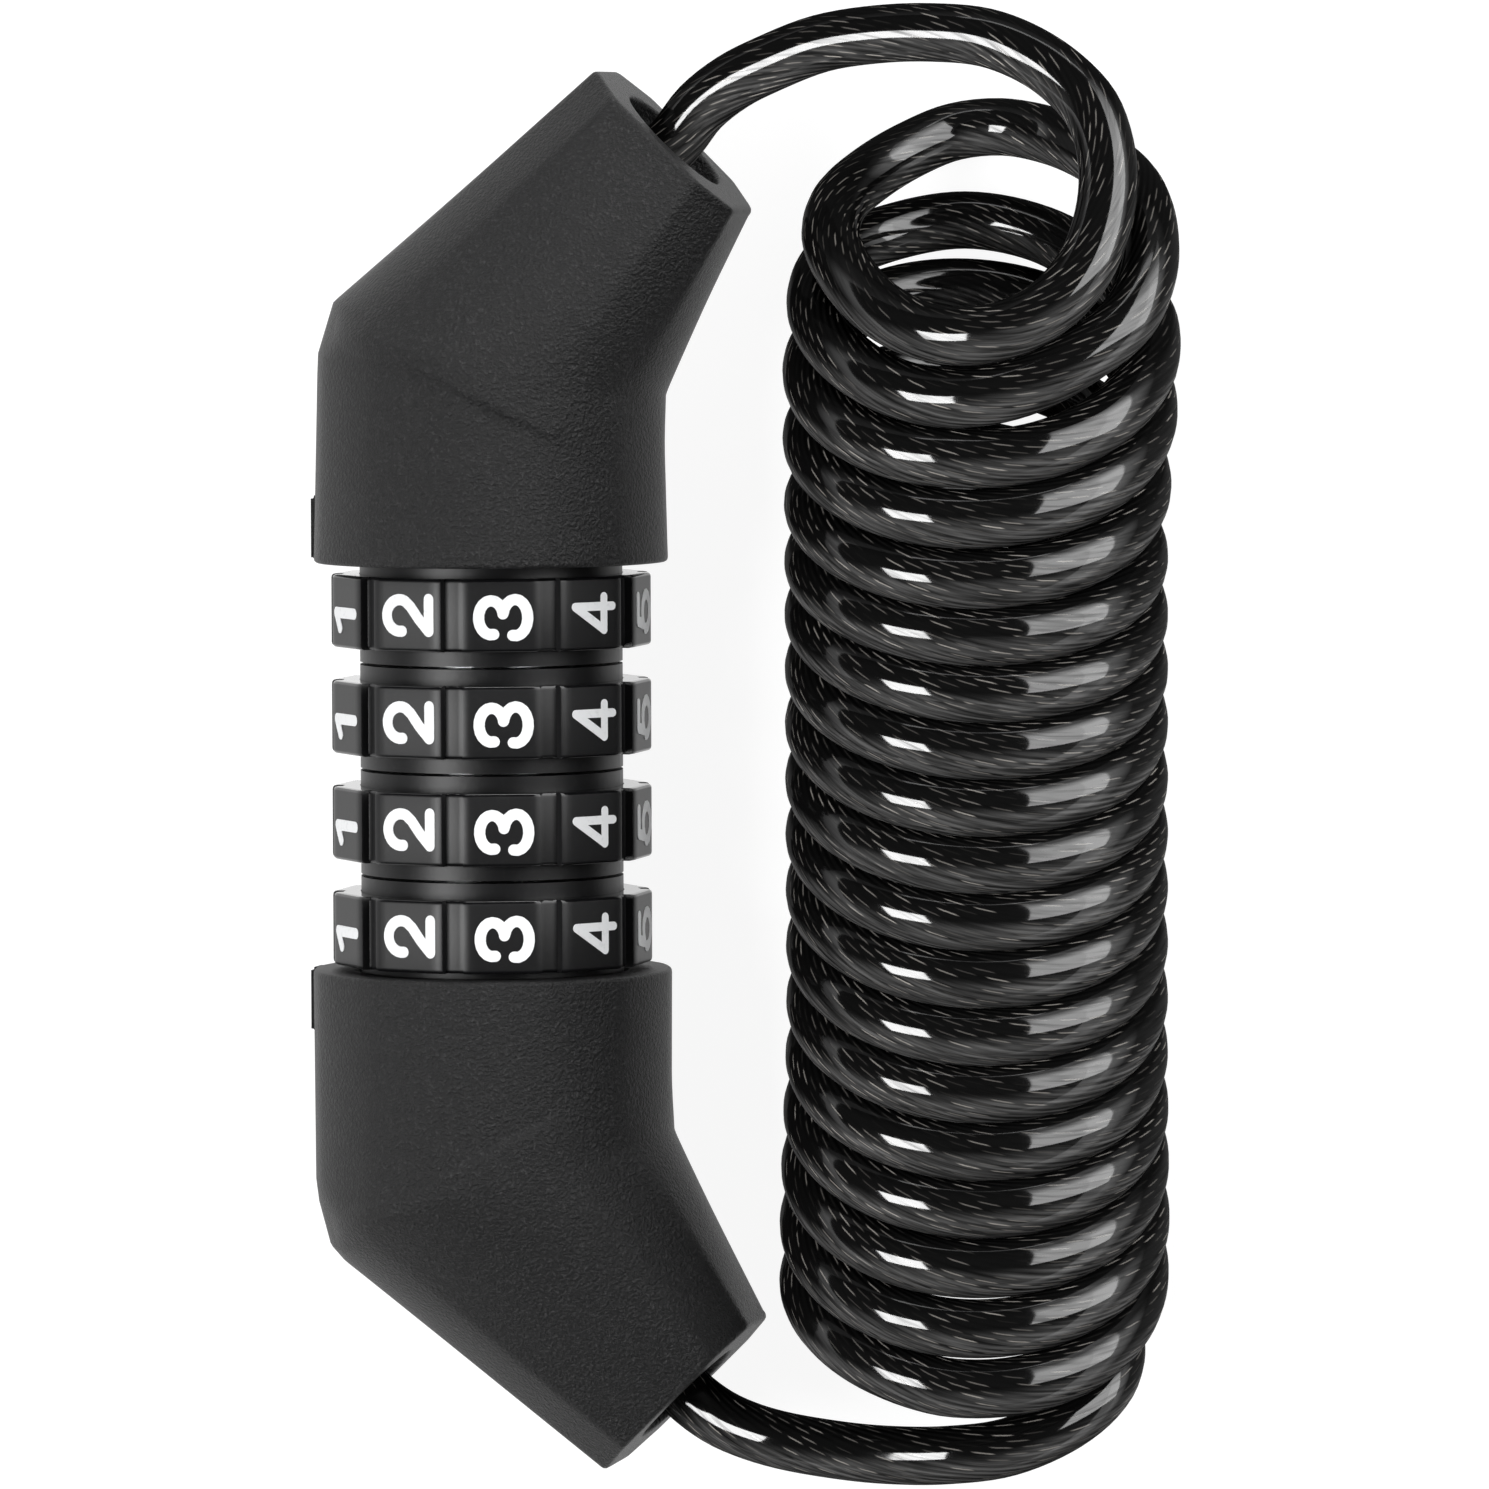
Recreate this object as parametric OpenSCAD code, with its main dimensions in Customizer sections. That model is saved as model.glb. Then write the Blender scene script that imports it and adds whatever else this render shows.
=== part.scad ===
// Combination cable lock: two elbow housings, four number dials and a spiral steel cable.
// The lock lies on its side on a table, with its barrel along Y and both arms towards +X.

/* [Housings] */
// Corner radius of the twelve-sided lock housing
lock_r = 12.6; // [12.2:0.1:13.2]
// Corner radius of the twelve-sided plug housing
plug_r = 12.4; // [12:0.1:12.7]
// Distance from the middle of the dial stack to the lock housing's rim
lock_rim = 13.85; // [13.8:0.05:14.2]
// Distance from the middle of the dial stack to the plug housing's rim
plug_rim = 14.2; // [13.9:0.05:14.4]
// Width of the plug's arm at its end face
plug_end_w = 13.8; // [13.5:0.1:15]
// Width of the lock's arm at its end face
lock_end_w = 14.6; // [14:0.1:16]
// Thickness of both arms at their end faces
end_h = 12.2; // [11.6:0.1:13]
// Corner radius of both end faces
end_round = 2.8; // [2:0.1:3.4]
// Radius of the cable opening in each end face
mouth_r = 3.3; // [3:0.1:3.6]

/* [Dials] */
// Spacing of the dials along the barrel
dial_pitch = 7.3; // [7.25:0.05:7.4]
// Height of a number ring
dial_h = 5; // [4.6:0.1:5.4]
// Outer radius of a number ring
dial_r = 11.05; // [10.9:0.05:11.3]
// Distance from the axis to the flat of a panel
panel_flat = 10.75; // [10.6:0.05:10.85]
// Width of the groove between two panels
groove_w = 1.3; // [1:0.1:1.6]
// Outer radius of the code rings
hub_r = 9.05; // [8.8:0.05:9.1]

/* [Lockwork] */
// Radius of the barrel tube that the rings turn on
tube_r = 6.2; // [6.1:0.05:6.3]
// Radius of the locking pin's shank
pin_r = 3.9; // [3.8:0.02:3.92]
// Reach of the locking teeth from the axis
tooth_reach = 7; // [6.8:0.1:7.1]
// Width of the locking teeth
tooth_w = 2; // [1.8:0.1:2.1]

/* [Cable] */
// Diameter of the cable over its jacket
cable_d = 4; // [3.8:0.1:4]
// Mean radius of the coil
coil_r = 11; // [10.8:0.1:11.2]

/* [Hidden] */
$fn = 64;
plate_t = 0.2;
slip = 0.05;             // radial clearance of the fits that turn or slide
seat = 0.02;             // clearance of the parts that are pressed or moulded in

// Housing outlines in the arm's plane, x from the barrel's axis and y from the dial stack's middle,
// for an arm that points up; the lock housing is mirrored.
arm_angle = 45;
plug_side_y = 28.4;
plug_knee = [-10.7, 32.2];
plug_mid = [13.1, 43.15];
plug_inner = [plug_r, 25.7];
plug_crease = [[-5.5, 29.4], [7.1, 22.8]];   // where the barrel's flats end, from outside to inside
plug_mitre = 12.5;                           // tilt of the section where the arm starts
lock_side_y = 28.6;
lock_knee = [-11.4, 33.1];
lock_mid = [13.6, 43.1];
lock_inner = [lock_r, 25];
lock_crease = [[-6.3, 30], [6.8, 23.2]];
lock_mitre = 16.4;

// Lockwork places along the barrel
stack_y = 4 * dial_pitch / 2;
hub_h = dial_pitch - 0.2;
web_h = 2.4;
recess_r = tooth_reach + 0.5;
mouth_floor = 16.6;
tube_top = mouth_floor + 0.8;
tube_foot = -27;
keyway_w = tooth_w + 0.4;
core_r = 8.5;
core_end = 27.5;
pin_foot = -15.2;
tang_r = 3;
tang_top = 26;
cross_y = 22.5;
cross_r = 1;
ring_seat = stack_y + 0.1;

// Arm bores, measured inwards from the end face
ferrule_from = 8.5;
ferrule_to = 17.5;
ferrule_r = 3.2;
nose_r = 5.2;
nose_from = 8;
nose_to = 23.5;
gland_from = 1.6;
gland_to = 8;
screw_r = 1.25;

// Coil, in the same places as the housings
coil_x = 33.9;
coil_z = 0.5;
coil_top = 27;
coil_foot = -43;

// The whole model stands on z = 0, with its origin under the middle of the lock without its cable
tab_h = 0.45;
origin = [2.983, -0.262, -lock_r];

// Centre lines of the two leads, from the end faces outwards. A fourth number is the height that the point
// is lifted to along the line towards the viewer's place.
inwards = [-sin(arm_angle), -cos(arm_angle)];
viewer = [163, 43, 684];
lead_turn = 0.0052;      // radians that both leads are turned by about the middle of the dial stack
lead_shift = 0.07;
upper_points = [
  [15, 45.3, -0.2, 0.1], [17.1, 47, -0.9, 0.3], [19.3, 48.2, -2.1, 0.6], [22.6, 49.6, -4.2, 1.1],
  [26.2, 50.2, -5.8, 1.7], [29.9, 50.3, -6.5, 2.3], [33.8, 49.9, -6, 2.9], [37.1, 48.7, -4.6, 3.5],
  [39.8, 47.1, -2.6, 4.1], [42.1, 45, -0.4, 4.9], [43.4, 42.5, 1.8, 5.9], [44, 39.8, 4, 7.1],
  [43.9, 37, 6.2, 8.4], [43.1, 34.3, 8.2, 9.6], [41.5, 32.1, 9.8, 10.6], [39.1, 30.5, 10.9, 11.2],
  [36, 29.8, 11.3], [32.7, 30.1, 10.6], [29.3, 31.5, 8.8], [26.4, 33.9, 6], [24.6, 36.4, 2.6],
  [24.5, 38.7, -1], [25.9, 40.6, -4.6], [28.2, 42.3, -7.6], [30.9, 43.5, -9.6], [34.1, 43.8, -10],
  [38, 43.1, -8.5], [41.8, 41.6, -5], [44.7, 39.7, -1.5], [46.4, 37.1, 2.2], [46.9, 34, 5.2],
  [46.3, 31.2, 7.7]
];
lower_points = [
  [15.5, -44.7, 0.2], [17.5, -45.5, 0.6], [20, -46.1, 1.2], [24.1, -46.5, 2.8], [28.1, -46.6, 4.4],
  [32.6, -46.4, 5.5], [36.8, -45.8, 5.2], [40.5, -44.2, 3.6], [42.6, -42.3, 1.4]
];
function lying(p) =
  let (h = len(p) > 3 ? p[3] : p[2], k = (h - p[2]) / (viewer[2] - p[2]),
    x = p[0] + (viewer[0] - p[0]) * k, y = p[1] + (viewer[1] - p[1]) * k)
  [x - lead_turn * y + lead_shift, y + lead_turn * x, h];
upper_route = [for (p = upper_points) lying(p)];
lower_route = [for (p = lower_points) lying(p)];

function unit(v) = v / norm(v);
function flip(p) = [p[0], -p[1], p[2]];
// Rings of a round tube along a list of points, each square to the route and not twisted against the last
function along(p, i) = unit(p[min(i + 1, len(p) - 1)] - p[max(i - 1, 0)]);
function level(v, t) = unit(v - (v * t) * t);
function sides_of(p, i, v) = i == len(p) ? [] :
  let (u = level(v, along(p, i))) concat([u], sides_of(p, i + 1, u));
function ring_at(c, t, u, r, n) =
  let (w = cross(t, u)) [for (k = [0:n - 1]) c + r * (u * cos(360 * k / n) + w * sin(360 * k / n))];

module place() { translate(-origin) children(); }

// Puts a shape drawn along +Z from the end face inwards onto an arm's bore
module arm_bore(mid, up = 1) {
  mirror([0, up > 0 ? 0 : 1, 0])
    translate([mid[0], mid[1], 0]) rotate([0, 0, -90 - arm_angle]) rotate([0, 90, 0]) children();
}

module tube_along(route, r, sides = 8) {
  n = len(route);
  u = sides_of(route, 0, [0, 0, 1]);
  points = [for (i = [0:n - 1]) each ring_at(route[i], along(route, i), u[i], r, sides)];
  walls = [for (i = [0:n - 2], k = [0:sides - 1])
    [i * sides + k, i * sides + (k + 1) % sides, (i + 1) * sides + (k + 1) % sides, (i + 1) * sides + k]];
  first = [for (k = [sides - 1:-1:0]) k];
  last = [for (k = [0:sides - 1]) (n - 1) * sides + k];
  polyhedron(points, concat([first], walls, [last]), convexity = 10);
}

// Rounded plate as wide and thick as an arm's end face, for a hull
module end_plate(mid, w) {
  arm_bore(mid) linear_extrude(plate_t) offset(r = end_round)
    square([end_h - 2 * end_round, w - 2 * end_round], center = true);
}

// Slice of the round barrel along the mitre line, for a hull
module mitre_plate(r, bend_y, mitre) {
  translate([0, bend_y, 0]) rotate([-90, 0, -mitre])
    linear_extrude(plate_t) scale([1 / cos(mitre), 1]) circle(r = r - slip, $fn = 36);
}

// Elbow that points up: a round barrel with twelve flats that end at the crease, and the tapered arm
module elbow(r, rim, side_y, knee, crease, mid, inner, mitre, end_w) {
  bend_y = inner[1] + r * tan(mitre);
  out_y = bend_y + r * tan(mitre);
  difference() {
    union() {
      difference() {
        intersection() {
          translate([0, rim, 0]) rotate([-90, 0, 0]) cylinder(h = 22, r = r);
          translate([0, 0, -2 * r]) linear_extrude(4 * r)
            polygon([[-r - 1, rim - 1], [r + 1, rim - 1], [r + 1, inner[1]], inner, [-r, out_y], [-r - 1, out_y]]);
        }
        difference() {
          translate([0, 0, -2 * r]) linear_extrude(4 * r)
            polygon([[-r - 1, rim - 1], [r + 1, rim - 1], [r + 1, inner[1]], inner, crease[1], crease[0],
              [-r - 1, out_y]]);
          translate([0, rim - 2, 0]) rotate([-90, 0, 0]) cylinder(h = 26, r = r + slip, $fn = 12);
        }
      }
      hull() {
        mitre_plate(r, bend_y - plate_t, mitre);
        end_plate(mid, end_w);
      }
      // raised index tab on the reading line
      translate([-r - tab_h, rim, -1.1]) cube([2, 4.5, 2.2]);
    }
    translate([0, 0, -2 * r]) linear_extrude(4 * r)
      polygon([[-r - 4, side_y], [-r - 0.1, side_y], knee, knee + [1.2, 1.4], [-r - 4, knee[1] + 6]]);
  }
}

// Room inside a housing for its core, the dial stack's end and the cable
module elbow_room(mid, rim) {
  translate([0, rim - 1, 0]) rotate([-90, 0, 0]) cylinder(h = mouth_floor - rim + 1, r = hub_r + 0.35);
  core_blank(mid, seat);
  arm_bore(mid) translate([0, 0, -3]) cylinder(h = 12, r = mouth_r);
}

// Outside of a core: a drum on the barrel's axis and a nose along the arm's bore
module core_blank(mid, more = 0) {
  translate([0, mouth_floor - more, 0]) rotate([-90, 0, 0])
    cylinder(h = core_end - mouth_floor + 2 * more, r = core_r + more);
  arm_bore(mid) translate([0, 0, nose_from - more]) cylinder(h = nose_to - nose_from + 2 * more, r = nose_r + more);
}

module core_bores(mid) {
  arm_bore(mid) translate([0, 0, ferrule_from - 1]) cylinder(h = ferrule_to - ferrule_from + 1.1, r = ferrule_r + seat);
  arm_bore(mid) translate([0, 0, (ferrule_from + ferrule_to) / 2]) rotate([0, -90, 0])
    cylinder(h = nose_r + 1, r = screw_r + seat);
  translate([0, cross_y, -core_r - 1]) cylinder(h = 2 * core_r + 2, r = cross_r + seat);
}

module plug_housing() {
  color([0.13, 0.13, 0.14]) place() difference() {
    elbow(plug_r, plug_rim, plug_side_y, plug_knee, plug_crease, plug_mid, plug_inner, plug_mitre, plug_end_w);
    elbow_room(plug_mid, plug_rim);
  }
}

module lock_housing() {
  color([0.13, 0.13, 0.14]) place() mirror([0, 1, 0]) difference() {
    elbow(lock_r, lock_rim, lock_side_y, lock_knee, lock_crease, lock_mid, lock_inner, lock_mitre, lock_end_w);
    elbow_room(lock_mid, lock_rim);
  }
}

module plug_core() {
  color("silver") place() difference() {
    core_blank(plug_mid);
    core_bores(plug_mid);
    translate([0, mouth_floor - 1, 0]) rotate([-90, 0, 0]) cylinder(h = tube_top - mouth_floor + 1.3, r = tube_r + slip);
    translate([0, mouth_floor, 0]) rotate([-90, 0, 0]) cylinder(h = tang_top - mouth_floor + 0.1, r = tang_r + seat);
  }
}

module lock_core() {
  color("silver") place() mirror([0, 1, 0]) difference() {
    core_blank(lock_mid);
    core_bores(lock_mid);
    translate([0, mouth_floor - 1, 0]) rotate([-90, 0, 0]) cylinder(h = -tube_foot - mouth_floor + 1.1, r = tube_r + seat);
  }
}

// Steel tube with a keyway for the teeth and a flat for the click spring
module barrel_tube() {
  color("gainsboro") place() difference() {
    translate([0, tube_foot, 0]) rotate([-90, 0, 0]) cylinder(h = tube_top - tube_foot, r = tube_r);
    translate([0, pin_foot - 0.4, 0]) rotate([-90, 0, 0]) cylinder(h = 40, r = pin_r + slip);
    translate([-tube_r - 1, pin_foot - 0.4, -keyway_w / 2]) cube([tube_r + 1, 40, keyway_w]);
    translate([tube_r - 0.7, -stack_y, -1]) cube([2, 2 * stack_y, 2]);
    translate([0, -cross_y, -tube_r - 1]) cylinder(h = 2 * tube_r + 2, r = cross_r + seat);
    translate([0, ring_seat, 0]) rotate([-90, 0, 0]) difference() {
      cylinder(h = 0.9, r = tube_r + 1);
      translate([0, 0, -1]) cylinder(h = 3, r = tube_r - 0.6);
    }
  }
}

module locking_pin() {
  color("silver") place() {
    difference() {
      union() {
        translate([0, pin_foot + 0.6, 0]) rotate([-90, 0, 0]) cylinder(h = tube_top - pin_foot - 0.35, r = pin_r);
        translate([0, pin_foot, 0]) rotate([-90, 0, 0]) cylinder(h = 0.6, r1 = pin_r - 0.6, r2 = pin_r);
        rotate([-90, 0, 0]) cylinder(h = tang_top, r = tang_r);
        for (k = [0:3]) translate([-tooth_reach, tooth_y(k) - 0.8, -tooth_w / 2]) cube([tooth_reach - 1, 1.6, tooth_w]);
      }
      translate([0, cross_y, -tang_r - 1]) cylinder(h = 2 * tang_r + 2, r = cross_r + seat);
    }
  }
}

function dial_y(k) = (1.5 - k) * dial_pitch;
function tooth_y(k) = dial_y(k) - 0.3;

// Number ring: ten raised panels with grooves between them, on a round band
module number_ring(k) {
  color([0.09, 0.09, 0.1]) place() translate([0, dial_y(k), 0]) rotate([-90, 0, 0]) difference() {
    intersection() {
      rotate([0, 0, 18]) translate([0, 0, -dial_h / 2]) cylinder(h = dial_h, r = panel_flat / cos(18), $fn = 10);
      rotate_extrude() polygon([[hub_r + slip, -dial_h / 2], [dial_r - 0.35, -dial_h / 2], [dial_r, -dial_h / 2 + 0.35],
        [dial_r, dial_h / 2 - 0.35], [dial_r - 0.35, dial_h / 2], [hub_r + slip, dial_h / 2]]);
    }
    for (i = [0:9]) rotate([0, 0, 36 * i + 18])
      translate([panel_flat - 0.35, -groove_w / 2, -dial_h]) cube([2, groove_w, 2 * dial_h]);
  }
}

// Code ring: sleeve with a web that has one gate for the tooth, keyed to the number ring
module code_ring(k) {
  color([0.2, 0.2, 0.21]) place() translate([0, dial_y(k), 0]) rotate([-90, 0, 0]) difference() {
    translate([0, 0, -hub_h / 2]) cylinder(h = hub_h, r = hub_r);
    translate([0, 0, -hub_h]) cylinder(h = 2 * hub_h, r = tube_r + slip);
    translate([0, 0, -hub_h / 2 - 1]) cylinder(h = hub_h - web_h + 1, r = recess_r);
    translate([-recess_r - 0.1, -keyway_w / 2, -hub_h]) cube([recess_r, keyway_w, 2 * hub_h]);
  }
}

module dial_1() { number_ring(0); }
module dial_2() { number_ring(1); }
module dial_3() { number_ring(2); }
module dial_4() { number_ring(3); }
module code_ring_1() { code_ring(0); }
module code_ring_2() { code_ring(1); }
module code_ring_3() { code_ring(2); }
module code_ring_4() { code_ring(3); }

module tube_cross_pin() {
  color("gray") place() translate([0, -cross_y, -core_r + 0.3]) cylinder(h = 2 * core_r - 0.6, r = cross_r);
}

module pin_cross_pin() {
  color("gray") place() translate([0, cross_y, -core_r + 0.3]) cylinder(h = 2 * core_r - 0.6, r = cross_r);
}

// C-shaped ring in the tube's groove, open at the keyway
module retaining_ring() {
  color("gray") place() translate([0, ring_seat + 0.05, 0]) rotate([-90, 0, 0]) difference() {
    cylinder(h = 0.8, r = tube_r + 1.9);
    translate([0, 0, -1]) cylinder(h = 3, r = tube_r - 0.55);
    translate([-tube_r - 3, -keyway_w / 2 - 0.5, -1]) cube([tube_r + 3, keyway_w + 1, 3]);
  }
}

module thrust_washer() {
  color("gray") place() translate([0, -mouth_floor + 0.1, 0]) rotate([-90, 0, 0]) difference() {
    cylinder(h = mouth_floor - stack_y - 0.2, r = hub_r - 0.3);
    translate([0, 0, -1]) cylinder(h = 5, r = tube_r + 0.1);
  }
}

// Leaf spring in the tube's flat, with a low hump under each code ring
module click_spring() {
  color("lightsteelblue") place() {
    translate([tube_r - 0.65, -stack_y + 0.2, -0.9]) cube([0.25, 2 * stack_y - 0.4, 1.8]);
    for (k = [0:3]) translate([tube_r - 0.45, dial_y(k) + 1.3, -0.4]) cube([0.35, 1.6, 0.8]);
  }
}

module ferrule(mid, up) {
  color("silver") place() arm_bore(mid, up) difference() {
    translate([0, 0, ferrule_from]) cylinder(h = ferrule_to - ferrule_from, r = ferrule_r);
    translate([0, 0, ferrule_from - 1]) cylinder(h = ferrule_to - ferrule_from - 0.5, r = cable_d / 2 + slip);
  }
}

module ferrule_screw(mid, up) {
  color("dimgray") place() arm_bore(mid, up) translate([0, 0, (ferrule_from + ferrule_to) / 2]) rotate([0, -90, 0])
    translate([0, 0, ferrule_r + 0.05]) difference() {
      cylinder(h = nose_r - ferrule_r - 0.2, r = screw_r);
      translate([0, 0, 0.7]) cylinder(h = 2, r = 0.7, $fn = 6);
    }
}

module gland(mid, up) {
  color([0.06, 0.06, 0.06]) place() arm_bore(mid, up) difference() {
    translate([0, 0, gland_from]) cylinder(h = gland_to - gland_from - 0.1, r = mouth_r - seat);
    cylinder(h = gland_to + 1, r = cable_d / 2 + slip);
  }
}

module lock_ferrule() { ferrule(lock_mid, -1); }
module plug_ferrule() { ferrule(plug_mid, 1); }
module lock_ferrule_screw() { ferrule_screw(lock_mid, -1); }
module plug_ferrule_screw() { ferrule_screw(plug_mid, 1); }
module lock_gland() { gland(lock_mid, -1); }
module plug_gland() { gland(plug_mid, 1); }

// Straight part of a lead, from the bottom of its ferrule to the end face
function lead_start(mid) = [for (t = [ferrule_to - 1.6, 8, 0]) [mid[0] + inwards[0] * t, mid[1] + inwards[1] * t, 0]];

module cable_upper_lead() {
  color([0.08, 0.08, 0.09]) place() tube_along(concat(lead_start(plug_mid), upper_route), cable_d / 2);
}

module cable_lower_lead() {
  color([0.08, 0.08, 0.09]) place()
    tube_along(concat([for (p = lead_start(lock_mid)) flip(p)], lower_route), cable_d / 2);
}

// The coil as one thick-walled sleeve of its outer size
module cable_coil() {
  color([0.08, 0.08, 0.09]) place() translate([coil_x, coil_foot, coil_z]) rotate([-90, 0, 0]) difference() {
    cylinder(h = coil_top - coil_foot, r = coil_r + cable_d / 2);
    translate([0, 0, -1]) cylinder(h = coil_top - coil_foot + 2, r = coil_r - cable_d / 2);
  }
}

lock_housing();
plug_housing();
lock_core();
plug_core();
barrel_tube();
locking_pin();
dial_1();
dial_2();
dial_3();
dial_4();
code_ring_1();
code_ring_2();
code_ring_3();
code_ring_4();
tube_cross_pin();
pin_cross_pin();
retaining_ring();
thrust_washer();
click_spring();
lock_ferrule();
plug_ferrule();
lock_ferrule_screw();
plug_ferrule_screw();
lock_gland();
plug_gland();
cable_lower_lead();
cable_coil();
cable_upper_lead();
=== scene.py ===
import math
import bpy
import bmesh
import numpy as np
from mathutils import Vector, Matrix
from mathutils.geometry import delaunay_2d_cdt


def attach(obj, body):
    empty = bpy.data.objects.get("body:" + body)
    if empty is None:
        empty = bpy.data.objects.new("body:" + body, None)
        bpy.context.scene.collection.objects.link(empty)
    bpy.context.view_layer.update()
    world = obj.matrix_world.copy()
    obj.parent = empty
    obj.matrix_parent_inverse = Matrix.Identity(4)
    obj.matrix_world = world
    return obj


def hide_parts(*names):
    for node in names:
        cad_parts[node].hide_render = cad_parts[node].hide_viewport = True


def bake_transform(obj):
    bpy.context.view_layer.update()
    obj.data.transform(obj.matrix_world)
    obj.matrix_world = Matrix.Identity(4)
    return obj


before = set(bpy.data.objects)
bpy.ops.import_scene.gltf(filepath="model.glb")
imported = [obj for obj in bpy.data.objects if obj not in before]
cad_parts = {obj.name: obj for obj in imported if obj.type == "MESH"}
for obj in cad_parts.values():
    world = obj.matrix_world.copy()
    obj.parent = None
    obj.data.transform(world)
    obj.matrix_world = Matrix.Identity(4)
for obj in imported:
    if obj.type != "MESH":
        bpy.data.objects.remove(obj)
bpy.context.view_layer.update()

scene = bpy.context.scene
scene.view_settings.view_transform = "Standard"

# --------------------------------------------------------------------------------------------------
# Camera
# A long lens looks down on the lock, a little from the cable's side and from the plug's end.
# The middle of the view lies between the barrel and the coil.
BARREL_AXIS = Vector((-2.983, 0.262, 12.6))  # mm, where the middle of the dial stack is in the model
CAMERA_FAR, SEEN_WIDE = 700, 102.69  # mm, to the middle of the view and across it there
camera_turn, camera_rise, camera_roll = math.radians(12.0), math.radians(3.4), math.radians(-0.2)
back = Vector((math.sin(camera_turn) * math.cos(camera_rise), math.sin(camera_rise),
               math.cos(camera_turn) * math.cos(camera_rise)))
right = Vector((0, 1, 0)).cross(back).normalized()
up = back.cross(right)
right, up = (right * math.cos(camera_roll) + up * math.sin(camera_roll),
             up * math.cos(camera_roll) - right * math.sin(camera_roll))
middle = (BARREL_AXIS + right * 17.415 + up * 1.58) / 1000
lens = bpy.data.cameras.new("camera")
lens.sensor_width = 36
lens.lens = lens.sensor_width * CAMERA_FAR / SEEN_WIDE
lens.clip_start, lens.clip_end = 0.05, 20
camera = bpy.data.objects.new("camera", lens)
turned = Matrix((right, up, back)).transposed().to_4x4()
camera.matrix_world = Matrix.Translation(middle + back * (CAMERA_FAR / 1000)) @ turned
scene.collection.objects.link(camera)
scene.camera = camera

# --------------------------------------------------------------------------------------------------
# Cable
# Steel rope in a clear smoky jacket, set by heat into a tight right-handed spring of nineteen turns.
# Its two ends are crimped in ferrules deep inside the housings' arms.
CABLE_THICK, ROUTE_STEP = 3.98, 0.75  # mm
EVEN_TURNS, TURN_STEPS = 16.75, 32  # the two loose loops above them are part of the upper lead
COIL_MIDDLE_Z, COIL_DEEP = 0.55, 11.0  # mm, the depth being from the coil's middle to the rope's middle
# Points of the leads from inside the ferrules outwards, in mm about the dial stack's middle. A fourth number
# is the height that the point is lifted to along the line towards the viewer.
VIEWER = Vector((163, 43, 684))
LEAD_TURN, LEAD_SHIFT = 0.0052, 0.07
LOWER_START = [(2.4, -31.9, 0), (7.95, -37.45, 0), (13.6, -43.1, 0)]
LOWER_LEAD = [
    (15.5, -44.7, 0.2), (17.5, -45.5, 0.6), (20, -46.1, 1.2), (24.1, -46.5, 2.8), (28.1, -46.6, 4.4),
    (32.6, -46.4, 5.5), (36.8, -45.8, 5.2), (40.5, -44.2, 3.6), (42.6, -42.3, 1.4), (43.1, -40.4, -1.2),
    (41.8, -38.1, -5.6), (38.2, -36.2, -9.2)]
UPPER_START = [(1.9, 31.95, 0), (7.45, 37.5, 0), (13.1, 43.15, 0)]
UPPER_LEAD = [
    (15, 45.3, -0.2, 0.1), (17.1, 47, -0.9, 0.3), (19.3, 48.2, -2.1, 0.6), (22.6, 49.6, -4.2, 1.1),
    (26.2, 50.2, -5.8, 1.7), (29.9, 50.3, -6.5, 2.3), (33.8, 49.9, -6, 2.9), (37.1, 48.7, -4.6, 3.5),
    (39.8, 47.1, -2.6, 4.1), (42.1, 45, -0.4, 4.9), (43.4, 42.5, 1.8, 5.9), (44, 39.8, 4, 7.1),
    (43.9, 37, 6.2, 8.4), (43.1, 34.3, 8.2, 9.6), (41.5, 32.1, 9.8, 10.6), (39.1, 30.5, 10.9, 11.2),
    (36, 29.8, 11.3), (32.7, 30.1, 10.6), (29.3, 31.5, 8.8), (26.4, 33.9, 6), (24.6, 36.4, 2.6),
    (24.5, 38.7, -1), (25.9, 40.6, -4.6), (28.2, 42.3, -7.6), (30.9, 43.5, -9.6), (34.1, 43.8, -10),
    (38, 43.1, -8.5), (41.8, 41.6, -5), (44.7, 39.7, -1.5), (46.4, 37.1, 2.2), (46.9, 34, 5.2),
    (46, 30.9, 7.9), (43.2, 28.4, 9.9), (39.2, 26.3, 11.2), (34.8, 25.6, 11.4), (30.3, 26.4, 10.2),
    (25.8, 28.8, 6.6), (23.3, 31.8, 1.6), (23.5, 34.8, -3.4), (26.4, 36.5, -7.8), (31.4, 37.4, -10.4),
    (36.8, 36.4, -10), (41.9, 33.7, -7.2), (45.4, 30.8, -3)]


def lying(x, y, z, height=None):
    """Where a typed point of a lead lies: lifted towards the viewer, and turned a little with the coil."""
    p = Vector((x, y, z))
    if height is not None:
        p += (VIEWER - p) * ((height - z) / (VIEWER.z - z))
    return p.x - LEAD_TURN * p.y + LEAD_SHIFT, p.y + LEAD_TURN * p.x, p.z


def by_turn(turn, *pairs):
    """A value that changes evenly between the turns given as (turn, value)."""
    return float(np.interp(turn, [p[0] for p in pairs], [p[1] for p in pairs]))


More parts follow.
